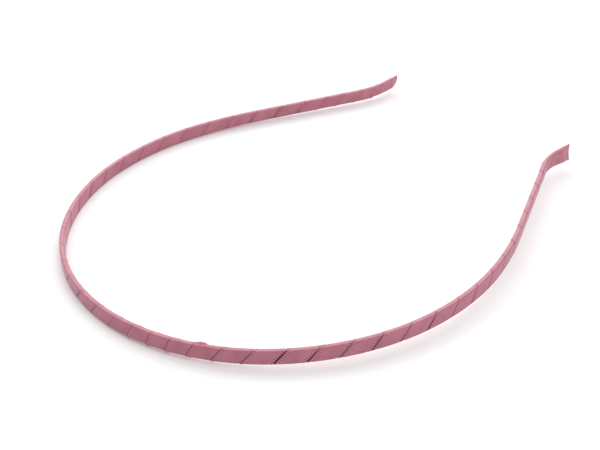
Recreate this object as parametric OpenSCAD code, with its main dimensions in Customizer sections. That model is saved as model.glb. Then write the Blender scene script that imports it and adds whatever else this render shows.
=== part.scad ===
// Ribbon-wrapped headband: a bent spring-steel strip, thin tape on its two faces, one narrow
// ribbon wound round it from end to end, and a folded ribbon tab over each tip.
// It lies on its edge: the U is in the XY plane, its open side faces +Y, and +Z is up.
// The band bends as a spring. Here that bend is gathered at two flex points, where the
// crown meets the left and right sides, so each layer is in three lengths.

/* [Steel strip] */
// Width of the strip, which stands upright along Z
strip_w = 3; // [2.5:0.1:6]
// Thickness of the strip
strip_t = 0.8; // [0.6:0.1:1.2]
// Room between the strip's rounded end and the fold of its tab
tip_room = 2; // [0.3:0.1:3]

/* [Ribbon and tape] */
// Thickness of the ribbon
ribbon_t = 0.3; // [0.2:0.05:0.4]
// Thickness of the double-sided tape on each face of the strip
tape_t = 0.05; // [0.05:0.01:0.12]
// Width by which the tape falls short of the strip
tape_inset = 0.2; // [0.1:0.1:0.6]
// Slack between the strip's edges and the ribbon folded round them
edge_slack = 0.05; // [0.02:0.01:0.1]
// Height of the left tab at its folded end
left_tab_h = 4; // [4:0.1:7]
// Height of the right tab at its folded end, where the ribbon fans out
right_tab_h = 5.2; // [4:0.1:7]

/* [Curve of the band] */
// Radius at the crown
crown_r = 59; // [54:0.5:66]
// Angle of the crown arc on each side of the middle
crown_a = 48.5; // [44:0.5:52]
// Radius of the shoulder, next to the crown
shoulder_r = 68.5; // [62:0.5:76]
// Angle of the shoulder arc
shoulder_a = 32.5; // [28:0.5:36]
// Radius of the side, where the band is widest
side_r = 78; // [72:0.5:86]
// Angle of the side arc
side_a = 23.5; // [18:0.5:28]
// Radius where the side runs out into the straight leg
hip_r = 122; // [100:1:150]
// Angle of that last inward arc
hip_a = 9; // [6:0.5:12]
// Length of the straight leg
leg_l = 37.5; // [30:0.5:50]

/* [Flared tips] */
// Radius of the left tip's outward bend
left_flare_r = 31; // [8:0.5:40]
// Angle of the left tip's outward bend
left_flare_a = 21; // [10:1:40]
// Straight length of the left tip after its bend
left_tip_l = 6.6; // [5:0.1:14]
// Radius of the right tip's outward bend
right_flare_r = 14; // [5:0.5:24]
// Angle of the right tip's outward bend
right_flare_a = 36; // [10:1:40]
// Straight length of the right tip after its bend
right_tip_l = 5.1; // [5:0.1:14]

/* [Flex points] */
// Gap between the crown and each side, which leaves room to flex inward and outward
flex_gap = 0.24; // [0.2:0.02:0.4]

/* [Hidden] */

// Largest turn between two stations along an arc
arc_step = 2;
// How far a cutting shape runs past what it cuts
past = 1;

band_h = strip_w + 2 * (edge_slack + ribbon_t);
band_t = strip_t + 2 * (tape_t + ribbon_t);
strip_face = strip_t / 2;
tape_face = strip_face + tape_t;
band_face = band_t / 2;
strip_low = ribbon_t + edge_slack;
tape_low = strip_low + tape_inset / 2;

// A run is a list of segments. [r, a] is an arc of a degrees: r > 0 bends towards the inside
// of the U, and r < 0 bends outward. [0, l] is a straight of length l.
function flare(r, a, l) = [[-r, a], [0, l]];

// A pose is [x, y, heading], with the outside of the U on the right-hand side.
function after(p, seg) =
    seg[0] == 0
        ? [p[0] + seg[1] * cos(p[2]), p[1] + seg[1] * sin(p[2]), p[2]]
        : let (turned = p[2] + sign(seg[0]) * seg[1])
          [
              p[0] + seg[0] * (sin(turned) - sin(p[2])),
              p[1] - seg[0] * (cos(turned) - cos(p[2])),
              turned
          ];
function part_of(seg, share) = seg[0] == 0 ? [0, seg[1] * share] : [seg[0], seg[1] * share];
function steps(seg) = seg[0] == 0 ? 1 : ceil(seg[1] / arc_step);
function walk(p, seg) = [for (i = [0:steps(seg) - 1]) after(p, part_of(seg, i / steps(seg)))];

// Poses at every station of a run that starts at pose p
function stations(p, run, i = 0) =
    i == len(run) ? [p] : concat(walk(p, run[i]), stations(after(p, run[i]), run, i + 1));
function last(list) = list[len(list) - 1];

// The crown runs from its left end to its right end.
right_end_of_crown = after([0, 0, 0], [crown_r, crown_a]);
left_end_of_crown = [-right_end_of_crown[0], right_end_of_crown[1], -crown_a];
crown = stations(left_end_of_crown, [[crown_r, crown_a], [crown_r, crown_a]]);

// Each side runs from its flex point to the end of its straight leg, and its tip from there.
gap_a = flex_gap / shoulder_r * 180 / PI;
side_start = after(right_end_of_crown, [shoulder_r, gap_a]);
side_run = [[shoulder_r, shoulder_a - gap_a], [side_r, side_a], [hip_r, hip_a], [0, leg_l]];
side = stations(side_start, side_run);
leg_end = last(side);
left_flare = flare(left_flare_r, left_flare_a, left_tip_l);
right_flare = flare(right_flare_r, right_flare_a, right_tip_l);

// The origin is under the middle of the whole band.
function reach(p) = p[1] + band_face * abs(cos(p[2]));
y_far = max(reach(last(stations(leg_end, left_flare))), reach(last(stations(leg_end, right_flare))));
y_middle = (y_far - band_face) / 2;

// Line that stays the distance d outside the middle of the band
function line_at(line, d) = [for (p = line) [p[0] + d * sin(p[2]), p[1] - d * cos(p[2]) - y_middle]];
function backward(line) = [for (i = [len(line) - 1:-1:0]) line[i]];

// Upright wall along a line of stations, between two distances from the middle of the band
module wall(line, from, to, low, height) {
    translate([0, 0, low])
        linear_extrude(height)
            polygon(concat(line_at(line, to), backward(line_at(line, from))));
}

// Puts a flat shape, drawn as (distance along, height), across the band at pose p
module across(p, width) {
    translate([p[0], p[1] - y_middle, 0])
        rotate([0, 0, p[2]])
            translate([0, width / 2, 0])
                rotate([90, 0, 0])
                    linear_extrude(width) children();
}

module left_half() {
    mirror([1, 0, 0]) children();
}

// Steel strip
module strip(line) {
    wall(line, -strip_face, strip_face, strip_low, strip_w);
}

// Corners cut off a strip that ends at x = 0
module round_end() {
    translate([-strip_w / 2, 0])
        difference() {
            translate([0, strip_low - past]) square([strip_w / 2 + past, strip_w + 2 * past]);
            translate([0, band_h / 2]) circle(d = strip_w, $fn = 48);
        }
}

module steel_strip_crown() {
    color("silver") strip(crown);
}

module steel_strip_side(tip_flare) {
    bare = [tip_flare[0], [0, tip_flare[1][1] - ribbon_t - tip_room]];
    line = stations(side_start, concat(side_run, bare));
    color("silver")
        difference() {
            strip(line);
            across(last(line), strip_t + 2 * past) round_end();
        }
}

// Double-sided tape, on the length that the ribbon is wound on
module tape(line, from, to) {
    color("maroon") wall(line, from, to, tape_low, strip_w - tape_inset);
}

module outer_tape_crown() {
    tape(crown, strip_face, tape_face);
}

module outer_tape_side() {
    tape(side, strip_face, tape_face);
}

module inner_tape_crown() {
    tape(crown, -tape_face, -strip_face);
}

module inner_tape_side() {
    tape(side, -tape_face, -strip_face);
}

// Room inside the ribbon, which the strip and its tape lie in
module core(line) {
    wall(line, -tape_face, tape_face, ribbon_t, band_h - 2 * ribbon_t);
}

// Ribbon wrap, as the sleeve that its turns make
module ribbon_wrap(line) {
    color("palevioletred")
        difference() {
            wall(line, -band_face, band_face, 0, band_h);
            core(line);
        }
}

module ribbon_wrap_crown() {
    ribbon_wrap(crown);
}

module ribbon_wrap_side() {
    ribbon_wrap(side);
}

// Ribbon tab, folded over a tip. Its top edge climbs from the wrap to the fold.
module ribbon_tab(tip_flare, end_h) {
    bend = tip_flare[0];
    tip_l = tip_flare[1][1];
    color("palevioletred")
        difference() {
            wall(stations(leg_end, tip_flare), -band_face, band_face, 0, end_h);
            core(stations(leg_end, [bend, [0, tip_l - ribbon_t]]));
            across(after(leg_end, bend), tip_l) above_tab(tip_l, end_h);
        }
}

module above_tab(tip_l, end_h) {
    polygon([
        [-tip_l, band_h], [0, band_h], [tip_l, end_h],
        [tip_l + past, end_h], [tip_l + past, end_h + past], [-tip_l, end_h + past]
    ]);
}

steel_strip_crown();
left_half() steel_strip_side(left_flare);  // steel_strip_left
steel_strip_side(right_flare);  // steel_strip_right
outer_tape_crown();
left_half() outer_tape_side();  // outer_tape_left
outer_tape_side();  // outer_tape_right
inner_tape_crown();
left_half() inner_tape_side();  // inner_tape_left
inner_tape_side();  // inner_tape_right
ribbon_wrap_crown();
left_half() ribbon_wrap_side();  // ribbon_wrap_left
ribbon_wrap_side();  // ribbon_wrap_right
left_half() ribbon_tab(left_flare, left_tab_h);  // ribbon_tab_left
ribbon_tab(right_flare, right_tab_h);  // ribbon_tab_right
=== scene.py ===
"""Headband: a narrow satin ribbon wound round a spring-steel strip, with a folded tab on each tip.

Lengths here are millimetres and angles are degrees until place() turns them into metres in the
CAD's frame. A place on the band is (s, out, up): s is the distance along the middle line from the
crown, positive towards the right tip; out is away from the inside of the U; up is height.
"""

import math

import bpy
import numpy as np
from mathutils import Matrix, Vector


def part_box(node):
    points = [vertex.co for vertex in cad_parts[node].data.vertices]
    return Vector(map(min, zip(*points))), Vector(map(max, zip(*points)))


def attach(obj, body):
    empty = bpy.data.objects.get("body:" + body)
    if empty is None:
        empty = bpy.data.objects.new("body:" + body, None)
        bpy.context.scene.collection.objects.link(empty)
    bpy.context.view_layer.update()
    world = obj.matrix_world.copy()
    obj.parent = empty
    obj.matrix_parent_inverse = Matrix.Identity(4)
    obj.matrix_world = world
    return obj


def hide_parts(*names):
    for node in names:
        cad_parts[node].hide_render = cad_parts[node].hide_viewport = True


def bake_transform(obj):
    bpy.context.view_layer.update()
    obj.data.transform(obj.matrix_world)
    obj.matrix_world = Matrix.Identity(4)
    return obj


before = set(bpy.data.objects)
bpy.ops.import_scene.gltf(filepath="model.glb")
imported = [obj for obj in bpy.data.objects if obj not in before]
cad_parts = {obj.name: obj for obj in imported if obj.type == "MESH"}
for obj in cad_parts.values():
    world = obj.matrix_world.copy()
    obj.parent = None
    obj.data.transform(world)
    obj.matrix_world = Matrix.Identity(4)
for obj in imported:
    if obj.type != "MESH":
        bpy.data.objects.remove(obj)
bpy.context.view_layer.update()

MM = 0.001
SEED = 7

# ---------------------------------------------------------------- the band's middle line

# An arc is (radius, degrees), and a radius below 0 bends outward. A straight is (0, length).
CROWN = [(59, 48.5)]
SIDE = [(68.5, 32.5), (78, 23.5), (122, 9), (0, 37.5)]
LEFT_FLARE = [(-31, 21), (0, 6.6)]
RIGHT_FLARE = [(-14, 36), (0, 5.1)]


def segment_length(radius, amount):
    return abs(radius) * math.radians(amount) if radius else amount


def run_length(segments):
    return sum(segment_length(*segment) for segment in segments)


class MiddleLine:
    """The middle line from the crown to one tip, as if that tip were on the right."""

    def __init__(self, segments):
        self.starts = []
        s, x, y, heading = 0.0, 0.0, 0.0, 0.0
        for radius, amount in segments:
            self.starts.append((s, x, y, heading, radius))
            length = segment_length(radius, amount)
            x, y, heading = self.advance(x, y, heading, radius, length)
            s += length

    @staticmethod
    def advance(x, y, heading, radius, length):
        if not radius:
            return x + length * np.cos(heading), y + length * np.sin(heading), heading + 0 * length
        turned = heading + length / radius
        return (
            x + radius * (np.sin(turned) - np.sin(heading)),
            y - radius * (np.cos(turned) - np.cos(heading)),
            turned,
        )

    def at(self, s):
        x, y, heading = (np.zeros_like(s) for _ in range(3))
        for start, x0, y0, h0, radius in self.starts:
            here = s >= start
            nx, ny, nh = self.advance(x0, y0, h0, radius, s - start)
            x, y, heading = np.where(here, nx, x), np.where(here, ny, y), np.where(here, nh, heading)
        return x, y, heading


LEFT_LINE = MiddleLine(CROWN + SIDE + LEFT_FLARE)
RIGHT_LINE = MiddleLine(CROWN + SIDE + RIGHT_FLARE)
LEG_END = run_length(CROWN + SIDE)
LEFT_TIP = LEG_END + run_length(LEFT_FLARE)
RIGHT_TIP = LEG_END + run_length(RIGHT_FLARE)

# ---------------------------------------------------------------- the band's section

wrap_low, wrap_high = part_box("ribbon_wrap_crown")
strip_low, strip_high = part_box("steel_strip_crown")
STRIP_W = (strip_high.z - strip_low.z) / MM
STRIP_T = 0.8
TAPE_T = 0.05
TAPE_W = STRIP_W - 0.2
SLEEVE_T = 0.3
BAND_H = (wrap_high.z - wrap_low.z) / MM
BAND_T = STRIP_T + 2 * (TAPE_T + SLEEVE_T)
MID_UP = BAND_H / 2
APEX_Y = wrap_low.y / MM + BAND_T / 2

# The band is twisted a little: its top edge leans inward right of the crown and at both tips, and
# slightly outward between.
LEAN_NEAR_CROWN = math.tan(math.radians(5.5))
LEAN_ON_LEGS = math.tan(math.radians(-2))
LEFT_TIP_SHARE = 0.6


def smooth(t):
    t = np.clip(t, 0, 1)
    return t * t * (3 - 2 * t)


def place(s, out, up):
    """Points in metres in the CAD's frame, as rows of x, y, z."""
    s, out, up = np.broadcast_arrays(np.asarray(s, float), out, up)
    near_crown = smooth((s + 35) / 50) * (1 - smooth((s - 105) / 40))
    left_tip = LEFT_TIP_SHARE * (1 - smooth((s + 160) / 50))
    right_tip = smooth((s - 170) / 14)
    twist = near_crown + left_tip + right_tip
    lean = LEAN_ON_LEGS + (LEAN_NEAR_CROWN - LEAN_ON_LEGS) * twist
    out = out - lean * (up - MID_UP)
    xl, yl, hl = LEFT_LINE.at(np.abs(s))
    xr, yr, hr = RIGHT_LINE.at(np.abs(s))
    right = s >= 0
    x, y, heading = np.where(right, xr, -xl), np.where(right, yr, yl), np.where(right, hr, -hl)
    return MM * np.stack([x + out * np.sin(heading), y - out * np.cos(heading) + APEX_Y, up], -1)


def bump(s, middle, reach):
    return np.exp(-(((s - middle) / reach) ** 2))


RIBBON_T = 0.18
RIBBON_BASE = 0.08
CORE_OUT = STRIP_T / 2 + TAPE_T
CORE_BOTTOM = RIBBON_BASE + RIBBON_T + 0.01
CORE_TOP = 3.56
FOLD_R = 0.22
ROW_STEP = 0.09
FOLD_ROWS = 5


def section_table():
    """The ribbon's middle surface once round the band, as rows of distance, out, up and the normal.

    It starts in the fold between the bottom edge and the outer face, and climbs the outer face.
    """
    off = RIBBON_BASE + RIBBON_T / 2
    a = CORE_OUT + off - FOLD_R
    low, high = CORE_BOTTOM - off + FOLD_R, CORE_TOP + off - FOLD_R
    corners = [
        (a, low, -45, 0), (a, high, 0, 90), (-a, high, 90, 180), (-a, low, 180, 270), (a, low, 270, 315),
    ]
    rows = []
    for out, up, first, last in corners:
        angles = np.radians(np.linspace(first, last, FOLD_ROWS + 1))
        fold = [(out + FOLD_R * n, up + FOLD_R * m, n, m) for n, m in zip(np.cos(angles), np.sin(angles))]
        if rows:
            before, after = np.array(rows[-1]), np.array(fold[0])
            count = max(1, round(np.hypot(*(after - before)[:2]) / ROW_STEP))
            rows += [tuple(before + (after - before) * i / count) for i in range(1, count)]
        rows += fold
    rows = np.array(rows)
    steps = np.hypot(*np.diff(rows[:, :2], axis=0).T)
    return np.column_stack([np.concatenate([[0], np.cumsum(steps)]), rows])


SECTION = section_table()
GIRTH = SECTION[-1, 0]
ROW_PHASES = SECTION[:-1, 0] / GIRTH


def phase_of(out, up):
    """Share of a turn at which the ribbon passes a point of the section."""
    return SECTION[np.argmin(np.hypot(SECTION[:, 1] - out, SECTION[:, 2] - up)), 0] / GIRTH


OUTER_MIDDLE = phase_of(1, MID_UP)
INNER_MIDDLE = phase_of(-1, MID_UP)
BOTTOM_MIDDLE = phase_of(0, 0)
TOP_MIDDLE = phase_of(0, BAND_H)


def section_at(phase):
    """Out, up and normal on the ribbon's middle surface at a phase in turns."""
    p = np.mod(phase, 1) * GIRTH
    return [np.interp(p, SECTION[:, 0], SECTION[:, column]) for column in (1, 2, 3, 4)]


# ---------------------------------------------------------------- how the ribbon is wound

RIBBON_W = 6.0
PITCH = 8.24
CROWDED = dict(middle=15.5, reach=16)
CROWDED_BY = 2.67
LEFT_STRETCH = 0.41
LEFT_END_CROWDED_BY = 1.75
FIRST_FOLD = 45.95
STEEPER = 0.32

# Places where the gap at a seam is wider or narrower: (s, reach, change in width)
UNEVEN_GAPS = [
    (46.4, 3, 0.16), (54.7, 3, 0.1), (87.8, 3, 0.05), (96, 3, -0.17), (150, 34, -0.12), (-112, 48, -0.5),
]

# The gaps close over the top edge: by so much, for so much of a turn
CLOSED_ON_TOP = 0.35
TOP_REACH = 0.1


def pitch(s):
    left = LEFT_STRETCH * smooth((-20 - s) / 40) - LEFT_END_CROWDED_BY * smooth((-157 - s) / 6)
    return PITCH + left - CROWDED_BY * bump(s, **CROWDED)


def slant(s):
    """Length of ribbon that one turn takes."""
    return np.sqrt(pitch(s) ** 2 + GIRTH**2)


S_GRID = np.linspace(-210, 210, 8401)
S_STEP = S_GRID[1] - S_GRID[0]
PHASE_GRID = np.concatenate([[0], np.cumsum(S_STEP / pitch(S_GRID[:-1] + S_STEP / 2))])
PHASE_GRID -= np.interp(FIRST_FOLD, S_GRID, PHASE_GRID)
LENGTH_GRID = np.concatenate([[0], np.cumsum(np.diff(PHASE_GRID) * slant(S_GRID[:-1] + S_STEP / 2))])


def phase_at(s):
    return float(np.interp(s, S_GRID, PHASE_GRID))


def drift(phase, per_turn, amount, stream):
    """Slow seeded wander along the ribbon, between -amount and amount."""
    knots = np.random.default_rng(SEED + stream).uniform(-amount, amount, 900)
    t = np.asarray(phase, float) * per_turn + 450
    i = np.floor(t).astype(int)
    return knots[i] + (knots[i + 1] - knots[i]) * smooth(t - i)


def left_edge(phase):
    s = np.interp(phase, PHASE_GRID, S_GRID)
    steeper = STEEPER * bump(s, **CROWDED) * np.sin(2 * np.pi * (phase - OUTER_MIDDLE))
    return s - steeper + drift(phase, 3, 0.05, 1)


def reach(phase):
    """The turn's width along s."""
    s = left_edge(phase)
    width = RIBBON_W * slant(s) / GIRTH + drift(phase, 1.3, 0.05, 2)
    from_top = np.mod(phase - TOP_MIDDLE + 0.5, 1) - 0.5
    width = width + CLOSED_ON_TOP * bump(from_top, 0, TOP_REACH)
    for middle, spread, change in UNEVEN_GAPS:
        width = width - change * bump(s + width, middle, spread)
    return width


def overlap(phase):
    """How far the turn's right edge passes the next turn's left edge, along s."""
    return left_edge(phase) + reach(phase) - left_edge(phase + 1)


SELVEDGE_FROM = 0.2
SELVEDGE_TO = 0.95
LOOP_STEP = 0.72
LOOP_DEPTH = 0.1
PILLOW = 0.05
PUCKERS = [dict(s=28.6, phase=phase_of(-0.7, BAND_H), before=2.2, after=0.5, around=0.06, height=0.42)]
DOUBLED = 0.18
DOUBLED_ON_TOP = 0.08


def along(s_left, x, phase):
    """Distance along the ribbon's length, and across it from its left edge."""
    turn = slant(s_left)
    length = np.interp(phase, PHASE_GRID, LENGTH_GRID)
    return length + x * pitch(s_left) / turn, x * GIRTH / turn


def weave_loops(phase, x):
    """How deep the selvedge's holes are, from 0 to 1, and how far its bars show, from 0 to 1."""
    s = left_edge(phase)
    length, across = along(s, x, phase)
    inward = np.minimum(across, reach(phase) * GIRTH / slant(s) - across)
    band = smooth((inward - SELVEDGE_FROM) / 0.15) * (1 - smooth((inward - SELVEDGE_TO + 0.25) / 0.25))
    holes = (0.5 + 0.5 * np.cos(2 * np.pi * length / LOOP_STEP)) ** 1.4
    where = s + x
    clear = 0.1 + 0.9 * smooth((where - 28) / 8) * (1 - smooth((where - 78) / 8))
    clear = np.maximum(clear, 0.4 * smooth((-45 - where) / 10))
    return band * holes * clear, band * (1 - holes) * clear


def seam_shade(phase, x):
    """How much less light reaches the ribbon beside a seam, from 0 to 1."""
    shown = reach(phase) - np.maximum(overlap(phase), 0)
    beside_next = np.clip(shown - x, -0.2, None)
    s = left_edge(phase) + x
    tight = smooth((s + 65) / 30) * (1 - 0.6 * smooth((s - 105) / 20))
    strength, spread = 0.3 + 0.45 * tight, 0.8 - 0.5 * tight
    return strength * (np.exp(-((beside_next / spread) ** 2)) + 0.45 * np.exp(-((x / 0.1) ** 2)))


def surface(phase, x, depth):
    """A point of the ribbon: its phase, its distance x along s from the turn's left edge, and its depth.

    Depth is 0 on the underside and 1 on the upper side.
    """
    phase, x, depth = np.broadcast_arrays(np.asarray(phase, float), x, depth)
    s = left_edge(phase) + x
    out, up, n_out, n_up = section_at(phase)
    under = overlap(phase - 1)
    doubled = DOUBLED - (DOUBLED - DOUBLED_ON_TOP) * smooth(2 * n_up)
    lift = doubled * smooth((under + 0.1) / 0.2) * (1 - smooth((x - under - 0.05) / 0.6))
    flat = np.maximum(np.abs(n_out), np.abs(n_up)) ** 8
    share = x / reach(phase)
    lift = lift + PILLOW * flat * np.sin(np.pi * np.clip(share, 0, 1)) ** 0.6
    lift = lift + drift(phase + share, 4, 0.015, 3)
    for pucker in PUCKERS:
        turned = np.mod(phase - pucker["phase"] + 0.5, 1) - 0.5
        ahead = (s - pucker["s"]) / np.where(s > pucker["s"], pucker["after"], pucker["before"])
        lift = lift + pucker["height"] * np.exp(-(ahead**2) - (turned / pucker["around"]) ** 2)
    holes, bars = weave_loops(phase, x)
    lift = np.maximum(lift, 0) * np.where(n_up < 0, 1 + 0.4 * n_up, 1)
    rise = (depth - 0.5) * RIBBON_T + lift + depth * (0.02 * bars - LOOP_DEPTH * holes)
    return place(s, out + n_out * rise, up + n_up * rise)


# ---------------------------------------------------------------- meshes


def outward(rings):
    """Whether a tube's faces, in the order that tube() makes them, face outward."""
    a, b = rings[:-1], rings[1:]
    c = np.roll(b, -1, axis=1)
    d = np.roll(a, -1, axis=1)
    middle = rings.mean(axis=(0, 1))
    volume = np.einsum("ijk,ijk->", a - middle, np.cross(b - middle, c - middle))
    return volume + np.einsum("ijk,ijk->", a - middle, np.cross(c - middle, d - middle)) > 0


def tube(name, rings, cloth, material, painted_shading=None):
    """A closed tube of rings of points, with a face over each end.

    cloth is each point's place on the cloth or metal in metres, and the last argument is painted
    shading: painted shade below 0 and painted highlight above 0. The materials read both.
    """
    cloth = np.broadcast_to(cloth, rings.shape)
    painted_shading = np.zeros(rings.shape[:2]) if painted_shading is None else painted_shading
    if not outward(rings):
        rings, cloth, painted_shading = rings[:, ::-1], cloth[:, ::-1], painted_shading[:, ::-1]
    count, around = rings.shape[:2]
    i = np.arange(count - 1)[:, None] * around
    j = np.arange(around)[None, :]
    k = (j + 1) % around
    faces = np.stack([i + j, i + around + j, i + around + k, i + k], -1).reshape(-1, 4).tolist()
    faces.append(list(range(around)))
    faces.append([(count - 1) * around + j for j in reversed(range(around))])
    mesh = bpy.data.meshes.new(name)
    mesh.from_pydata(rings.reshape(-1, 3).tolist(), [], faces)
    mesh.polygons.foreach_set("use_smooth", [True] * len(mesh.polygons))
    mesh.set_sharp_from_angle(angle=math.radians(60))
    for attribute, kind, field, values in (
        ("cloth", "FLOAT_VECTOR", "vector", cloth), ("painted_shading", "FLOAT", "value", painted_shading),
    ):
        data = mesh.attributes.new(attribute, kind, "POINT").data
        data.foreach_set(field, np.ascontiguousarray(values, np.float32).ravel())
    mesh.materials.append(material)
    obj = bpy.data.objects.new(name, mesh)
    bpy.context.scene.collection.objects.link(obj)
    return obj


def phases_between(first, last):
    """Rows of the winding from one phase to another, at the section's own rows."""
    turns = np.arange(math.floor(first), math.ceil(last) + 1)
    rows = (turns[:, None] + ROW_PHASES).ravel()
    inside = rows[(rows > first + 1e-6) & (rows < last - 1e-6)]
    return np.concatenate([[first], inside, [last]])


# Columns at each edge of the ribbon: how far in, and how far up its rounded edge
EDGE_X = np.array([0, 0.03, 0.1, 0.25])
EDGE_DEPTH = np.array([0.5, 0.85, 0.98, 1])
SELVEDGE_X = np.array([0.36, 0.5, 0.65, 0.8, 0.95, 1.15, 1.5])
MIDDLE_COLUMNS = 8
UNDER_COLUMNS = 3


def wind(name, first, last, material):
    """A closed length of the wound ribbon."""
    phase = phases_between(first, last)[:, None]
    width = reach(phase)
    side = np.concatenate([EDGE_X, SELVEDGE_X])
    inner = side[-1]
    middle = inner + (width - 2 * inner) * np.linspace(0, 1, MIDDLE_COLUMNS + 2)[None, 1:-1]
    top = np.hstack([side + 0 * width, middle, width - side[::-1]])
    tuck = EDGE_X[1]
    under = tuck + (width - 2 * tuck) * np.linspace(1, 0, UNDER_COLUMNS + 2)[None, :]
    x = np.hstack([top, under])
    flat_columns = top.shape[1] - 2 * len(EDGE_X)
    depth = np.concatenate([
        EDGE_DEPTH, np.ones(flat_columns), EDGE_DEPTH[::-1], [0.15], np.zeros(UNDER_COLUMNS), [0.15],
    ])[None, :]
    holes, bars = weave_loops(phase, x)
    # Painted shade darkens the selvedge's holes and the ribbon beside each seam; a painted highlight
    # lightens the selvedge's bars.
    painted_shading = depth * np.maximum(0.3 * bars - 0.6 * holes - seam_shade(phase, x), -1)
    length, across = along(left_edge(phase), x, phase)
    cloth = MM * np.stack(np.broadcast_arrays(length, across, depth * RIBBON_T), -1)
    return tube(name, surface(phase, x, depth), cloth, material, painted_shading)


def rounded_section(side_points):
    """Points round a section: which corner they keep to, as shares of out and up, and where it faces."""
    points = []
    for out, up, first in ((1, -1, -90), (1, 1, 0), (-1, 1, 90), (-1, -1, 180)):
        if points:
            before = points[-1]
            for share in np.linspace(0, 1, side_points + 2)[1:-1]:
                towards = np.array([out, up]) * share + np.array(before[:2]) * (1 - share)
                points.append((*towards, *before[2:]))
        for angle in np.radians(np.linspace(first, first + 90, 5)):
            points.append((out, up, math.cos(angle), math.sin(angle)))
    return np.array(points).T


def bar(s, half_out, low, high, corner, side_points=1):
    """Rings of a bar that is upright across the band, as s, out and up."""
    share_out, share_up, n_out, n_up = rounded_section(side_points)
    s, half_out, low, high, corner = (
        np.asarray(value, float)[..., None] for value in (s, half_out, low, high, corner)
    )
    out = share_out * (half_out - corner) + corner * n_out
    up = (low + high) / 2 + share_up * ((high - low) / 2 - corner) + corner * n_up
    return np.broadcast_arrays(s, out, up)


BAR_STEP = 1.5
STRIP_CORNER = 0.12
TAPE_CORNER = 0.02


def strip_piece(name, side, material):
    """One side of the steel strip, with its round end."""
    tip = (RIGHT_TIP if side > 0 else LEFT_TIP) - SLEEVE_T - TIP_ROOM
    radius = STRIP_W / 2
    turn = np.radians(np.linspace(0, 82, 12))
    body = np.arange(0, tip - radius, BAR_STEP)
    s = np.concatenate([body, tip - radius * (1 - np.sin(turn))])
    half = np.concatenate([np.full(len(body), radius), radius * np.cos(turn)])
    s, out, up = bar(s, STRIP_T / 2, MID_UP - half, MID_UP + half, STRIP_CORNER)
    return tube(name, place(side * s, out, up), MM * np.stack([s, up, out], -1), material)


def tape_piece(name, side, face, material):
    """One side of one layer of tape. face is 1 outside and -1 inside."""
    s = np.arange(0, LEG_END + BAR_STEP, BAR_STEP)
    s, out, up = bar(s, TAPE_T / 2, MID_UP - TAPE_W / 2, MID_UP + TAPE_W / 2, TAPE_CORNER)
    out = out + face * (STRIP_T + TAPE_T) / 2
    return tube(name, place(side * s, out, up), MM * np.stack([s, up, out], -1), material)


TIP_ROOM = 2.0
TAB_LAYER = 0.2
TAB_STEP = 0.25
UNDER_WRAP = 4.0


def tab(name, side, wrap_end, style, material):
    """A ribbon end folded over a tip: it comes out from under the wrap, fans out and is cut across."""
    tip = RIGHT_TIP if side > 0 else LEFT_TIP
    strip_tip = tip - SLEEVE_T - TIP_ROOM
    s = np.linspace(wrap_end - UNDER_WRAP, tip, round((tip - wrap_end + UNDER_WRAP) / TAB_STEP))
    out_of_wrap = smooth((s - wrap_end - 0.5) / 1.5)
    fan = smooth((s - style["fan_from"]) / (tip - style["fan_from"]) * 0.75) / smooth(0.75)
    pinch = smooth((s - strip_tip + 0.6) / (TIP_ROOM + 0.3))
    half_out = CORE_OUT + 0.16 + 0.1 * out_of_wrap
    half_out = half_out + (TAB_LAYER + 0.03 - half_out) * pinch
    tucked_low, tucked_high = CORE_BOTTOM - 0.16, CORE_TOP + 0.16
    low = tucked_low + (0.03 - tucked_low) * out_of_wrap + style["end_low"] * fan
    high = tucked_high + (BAND_H + 0.07 - tucked_high) * out_of_wrap + (style["end_high"] - BAND_H) * fan
    corner = (0.22 + 0.25 * out_of_wrap) * (1 - pinch) + 0.16 * pinch
    inset = TAB_LAYER - 0.02
    s = np.concatenate([s, [tip - 0.02, tip - 0.7]])
    half_out = np.concatenate([half_out, [half_out[-1] - inset, 0.02]])
    low = np.concatenate([low, [low[-1] + inset, low[-1] + 0.5]])
    high = np.concatenate([high, [high[-1] - inset, high[-1] - 0.5]])
    corner = np.concatenate([corner, [0.02, 0.01]])
    s, out, up = bar(s, half_out, low, high, corner, side_points=14)
    share = 2 * (up - low[:, None]) / (high - low)[:, None] - 1
    cut = smooth((s - tip + 2.5) / 2.5) * style["cut"](share)
    for at, slope, width, depth in style["creases"]:
        crease = depth * bump(s - wrap_end - slope * (up - MID_UP), at, width) * (1 - share**2)
        out = out * (1 - crease / half_out[:, None])
    points = place(side * (s + cut), out, up)
    return tube(name, points, MM * np.stack([s, up, out], -1), material)


# ---------------------------------------------------------------- materials


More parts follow.
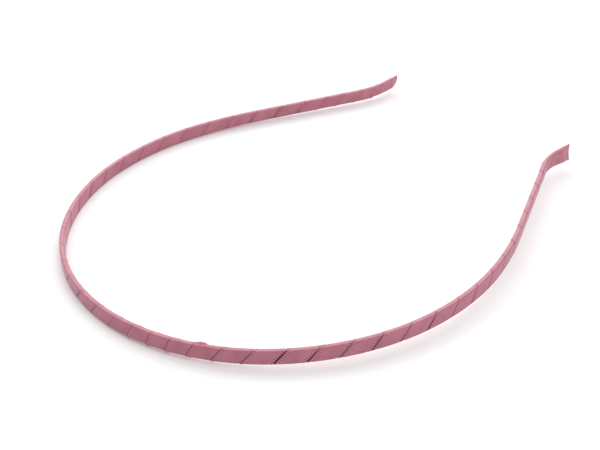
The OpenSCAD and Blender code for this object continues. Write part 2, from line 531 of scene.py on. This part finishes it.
class Nodes:
    """Short calls for building a material's nodes."""

    def __init__(self, name):
        self.material = bpy.data.materials.new(name)
        self.material.use_nodes = True
        self.tree = self.material.node_tree
        self.shader = self.tree.nodes["Principled BSDF"]

    def add(self, kind, settings=None, **inputs):
        node = self.tree.nodes.new(kind)
        for key, value in (settings or {}).items():
            setattr(node, key, value)
        for key, value in inputs.items():
            self.feed(node, key.replace("_", " "), value)
        return node

    def feed(self, node, socket, value):
        if isinstance(value, bpy.types.NodeSocket):
            self.tree.links.new(value, node.inputs[socket])
        else:
            node.inputs[socket].default_value = value

    def finish(self, **values):
        for key, value in values.items():
            self.feed(self.shader, key.replace("_", " "), value)

    def cloth(self, *scale):
        where = self.add("ShaderNodeAttribute", dict(attribute_name="cloth"))
        return self.add("ShaderNodeMapping", Vector=where.outputs["Vector"], Scale=scale).outputs["Vector"]

    def noise(self, scale, detail=2.0):
        """Noise with so many cells to the metre along, across and through the cloth or metal."""
        where = self.cloth(*scale)
        return self.add("ShaderNodeTexNoise", Vector=where, Scale=1.0, Detail=detail).outputs["Fac"]

    def spread(self, value, low, high, to_low=0.0, to_high=1.0):
        names = ("From Min", "From Max", "To Min", "To Max")
        node = self.add("ShaderNodeMapRange", Value=value)
        for name, number in zip(names, (low, high, to_low, to_high)):
            self.feed(node, name, number)
        return node.outputs["Result"]

    def mix(self, factor, a, b):
        node = self.add("ShaderNodeMix", dict(data_type="RGBA"))
        for index, value in ((0, factor), (6, a), (7, b)):
            self.feed(node, index, (*value, 1) if isinstance(value, tuple) else value)
        return node.outputs[2]

    def average(self, a, b, share):
        return self.add("ShaderNodeMix", dict(data_type="FLOAT"), Factor=share, A=a, B=b).outputs["Result"]

    def bump(self, height, strength, distance):
        node = self.add("ShaderNodeBump", Height=height, Strength=strength, Distance=distance)
        return node.outputs["Normal"]


SATIN_DARK = (0.385, 0.1, 0.15)
SATIN_LIGHT = (0.47, 0.146, 0.205)
SATIN_THREAD = (0.54, 0.195, 0.26)
# Painted shade for the selvedge's holes and beside each seam, and a painted highlight for the selvedge's
# bars.
PAINTED_SHADE_COLOUR = (0.11, 0.012, 0.03)
PAINTED_HIGHLIGHT_COLOUR = (0.72, 0.36, 0.44)


def satin():
    """Satin ribbon: fine warp threads along it, a finer weft across, slow changes of dye, painted shade
    in the selvedge's holes and beside each seam, and a painted highlight on the selvedge's bars."""
    n = Nodes("satin_ribbon")
    slow = n.noise((230, 330, 1), 3.0)
    warp = n.noise((600, 9000, 1))
    weft = n.noise((5200, 500, 1))
    threads = n.average(warp, weft, 0.4)
    dye = n.mix(n.spread(slow, 0.35, 0.65), SATIN_DARK, SATIN_LIGHT)
    dye = n.mix(n.spread(threads, 0.3, 0.7, 0.0, 0.35), dye, SATIN_THREAD)
    # Painted shade (dark) and painted highlight (light), read from the per-point painted shading.
    painted_shading = n.add("ShaderNodeAttribute", dict(attribute_name="painted_shading")).outputs["Fac"]
    dye = n.mix(n.spread(painted_shading, 0.0, -1.0), dye, PAINTED_SHADE_COLOUR)
    dye = n.mix(n.spread(painted_shading, 0.0, 1.0), dye, PAINTED_HIGHLIGHT_COLOUR)
    n.finish(
        Base_Color=dye, Normal=n.bump(threads, 0.5, 0.00006),
        Roughness=n.spread(slow, 0.3, 0.7, 0.38, 0.48),
        Specular_IOR_Level=0.65, Sheen_Weight=0.25, Sheen_Roughness=0.4, Sheen_Tint=(1.0, 0.7, 0.78, 1),
    )
    return n.material


def rolled_steel():
    """Cold-rolled strip: fine lines along it, with a shine that changes from line to line."""
    n = Nodes("rolled_steel")
    lines = n.noise((60, 9000, 9000), 3.0)
    n.finish(
        Base_Color=n.mix(n.spread(lines, 0.3, 0.7), (0.42, 0.42, 0.43), (0.62, 0.62, 0.64)), Metallic=1.0,
        Roughness=n.spread(lines, 0.3, 0.7, 0.24, 0.42), Normal=n.bump(lines, 0.2, 0.00002),
    )
    return n.material


def tape_with_gap_shade():
    """Double-sided tape: a tacky film, slightly mottled. Its dark maroon is partly painted shade, for the
    shadowed gaps between turns where it shows.
    """
    n = Nodes("tape_with_gap_shade")
    mottle = n.noise((900, 900, 900), 4.0)
    n.finish(
        Base_Color=n.mix(n.spread(mottle, 0.35, 0.7), (0.05, 0.006, 0.014), (0.09, 0.012, 0.025)),
        Roughness=n.spread(mottle, 0.3, 0.7, 0.45, 0.6), Normal=n.bump(mottle, 0.2, 0.00002),
        Specular_IOR_Level=0.15,
    )
    return n.material


def pale_floor():
    n = Nodes("pale_floor")
    grain = n.add("ShaderNodeTexNoise", Scale=300.0, Detail=2.0).outputs["Fac"]
    shade = n.mix(n.spread(grain, 0.3, 0.7), (0.9, 0.9, 0.905), (0.92, 0.92, 0.92))
    n.finish(Base_Color=shade, Roughness=0.9)
    return n.material


satin_ribbon = satin()
steel = rolled_steel()
gap_shade_tape = tape_with_gap_shade()

# ---------------------------------------------------------------- the headband

BEND_FROM = 6.0
BEND_TO = 100.0


def bend_with_side(piece, side):
    """Bakes the piece's transform into its mesh. Points on the crown and on the side are worked out but
    not used, so the piece does not bend.
    """
    start = place(side * BEND_FROM, 0, MID_UP)
    end = place(side * BEND_TO, 0, MID_UP)
    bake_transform(piece)


# The winding starts on the outer face near the left tip and ends on the inner face near the right
# tip. It is cut once, in the middle of the bottom edge under the crown.
FIRST_TURN_S = -185.2
LAST_TURN_S = 171.5
FIRST_TURN = math.floor(phase_at(FIRST_TURN_S)) + OUTER_MIDDLE
CUT = math.floor(phase_at(0)) - 1 + BOTTOM_MIDDLE
LAST_TURN = math.floor(phase_at(LAST_TURN_S)) + INNER_MIDDLE
LEFT_WRAP_END = 186.0
RIGHT_WRAP_END = 179.0

for side, body, name, first, last in (
    (-1, "left_side", "left", FIRST_TURN, CUT),
    (1, "right_side", "right", CUT, LAST_TURN),
):
    wrap = wind(f"ribbon_turns_{name}", first, last, satin_ribbon)
    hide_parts(f"ribbon_wrap_{name}", "ribbon_wrap_crown")
    strip = strip_piece(f"spring_strip_{name}", side, steel)
    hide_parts(f"steel_strip_{name}", "steel_strip_crown")
    pieces = [wrap, strip]
    for face, word in ((1, "outer"), (-1, "inner")):
        tape = tape_piece(f"{word}_tape_film_{name}", side, face, gap_shade_tape)
        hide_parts(f"{word}_tape_{name}", f"{word}_tape_crown")
        pieces.append(tape)
    for piece in pieces:
        bend_with_side(piece, side)


def slightly_hollow(share):
    return -0.35 * (1 - share**2)


def rounded_below(share):
    return 0.2 * share - 1.5 * np.clip(0.3 - share, 0, 2) ** 2 / 1.7


# A crease is (distance past the wrap's end, slope, width, depth).
LEFT_STYLE = dict(
    fan_from=LEG_END + 4, end_low=0.35, end_high=4.25, cut=rounded_below,
    creases=[(2.6, -0.5, 0.5, 0.1), (5.2, -0.3, 0.8, 0.07)],
)
RIGHT_STYLE = dict(
    fan_from=LEG_END, end_low=0.0, end_high=5.3, cut=slightly_hollow,
    creases=[(3.0, 0.35, 0.7, 0.1), (6.2, 0.6, 1.0, 0.07)],
)

for side, body, name, wrap_end, style in (
    (-1, "left_side", "left", LEFT_WRAP_END, LEFT_STYLE),
    (1, "right_side", "right", RIGHT_WRAP_END, RIGHT_STYLE),
):
    end = tab(f"folded_tab_{name}", side, wrap_end, style, satin_ribbon)
    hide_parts(f"ribbon_tab_{name}")
    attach(end, body)

# ---------------------------------------------------------------- the studio

FLOOR_HALF = 4000
FLOOR_DROP = 1.1
FLOOR_SLOPE_X = 0.015
FLOOR_SLOPE_Y = 0.0083


def floor_point(x, y):
    """The band doesn't lie quite flat: its right side is a little further above the floor."""
    return MM * x, MM * y, -MM * (FLOOR_DROP + FLOOR_SLOPE_X * x + FLOOR_SLOPE_Y * y)


corners = [(FLOOR_HALF * x, FLOOR_HALF * y) for x, y in ((-1, -1), (1, -1), (1, 1), (-1, 1))]
floor_mesh = bpy.data.meshes.new("floor")
floor_mesh.from_pydata([floor_point(x, y) for x, y in corners], [], [(0, 1, 2, 3)])
floor_mesh.materials.append(pale_floor())
floor = bpy.data.objects.new("floor", floor_mesh)
bpy.context.scene.collection.objects.link(floor)

world = bpy.data.worlds.new("studio")
world.use_nodes = True
world.node_tree.nodes["Background"].inputs["Color"].default_value = (1, 1, 1, 1)
world.node_tree.nodes["Background"].inputs["Strength"].default_value = 0.5
bpy.context.scene.world = world


def softbox(name, location, size, power):
    data = bpy.data.lights.new(name, "AREA")
    data.shape, data.size, data.energy = "DISK", size, power
    light = bpy.data.objects.new(name, data)
    light.location = location
    light.rotation_euler = (-Vector(location)).to_track_quat("-Z", "Y").to_euler()
    bpy.context.scene.collection.objects.link(light)


softbox("back_box", (-0.68, 0.75, 0.72), 1.5, 12)
softbox("overhead", (0.0, 0.0, 1.2), 1.2, 4.5)
softbox("left_box", (-0.9, -0.1, 0.7), 0.6, 2.4)
softbox("right_box", (0.9, 0.2, 0.6), 0.6, 2.4)

CAMERA_AZIMUTH = 43.62
CAMERA_ELEVATION = 32.14
CAMERA_ROLL = -0.6
CAMERA_DISTANCE = 358.45
CAMERA_LENS = 74.65
AIM_FROM_CROWN = (2.61, 67.54)

aim = Vector((AIM_FROM_CROWN[0], AIM_FROM_CROWN[1] + APEX_Y, 0)) * MM
azimuth, elevation, roll = (math.radians(a) for a in (CAMERA_AZIMUTH, CAMERA_ELEVATION, CAMERA_ROLL))
back = Vector((
    math.sin(azimuth) * math.cos(elevation), -math.cos(azimuth) * math.cos(elevation), math.sin(elevation)
))
level_right = Vector((math.cos(azimuth), math.sin(azimuth), 0))
level_up = back.cross(level_right)
right = level_right * math.cos(roll) + level_up * math.sin(roll)
up = level_up * math.cos(roll) - level_right * math.sin(roll)
camera_data = bpy.data.cameras.new("camera")
camera_data.sensor_width, camera_data.lens = 36, CAMERA_LENS
camera_data.clip_start, camera_data.clip_end = 0.01, 20
camera = bpy.data.objects.new("camera", camera_data)
turned = Matrix((right, up, back)).transposed().to_4x4()
camera.matrix_world = Matrix.Translation(aim + back * CAMERA_DISTANCE * MM) @ turned
bpy.context.scene.collection.objects.link(camera)
bpy.context.scene.camera = camera

bpy.context.scene.view_settings.view_transform = "Standard"
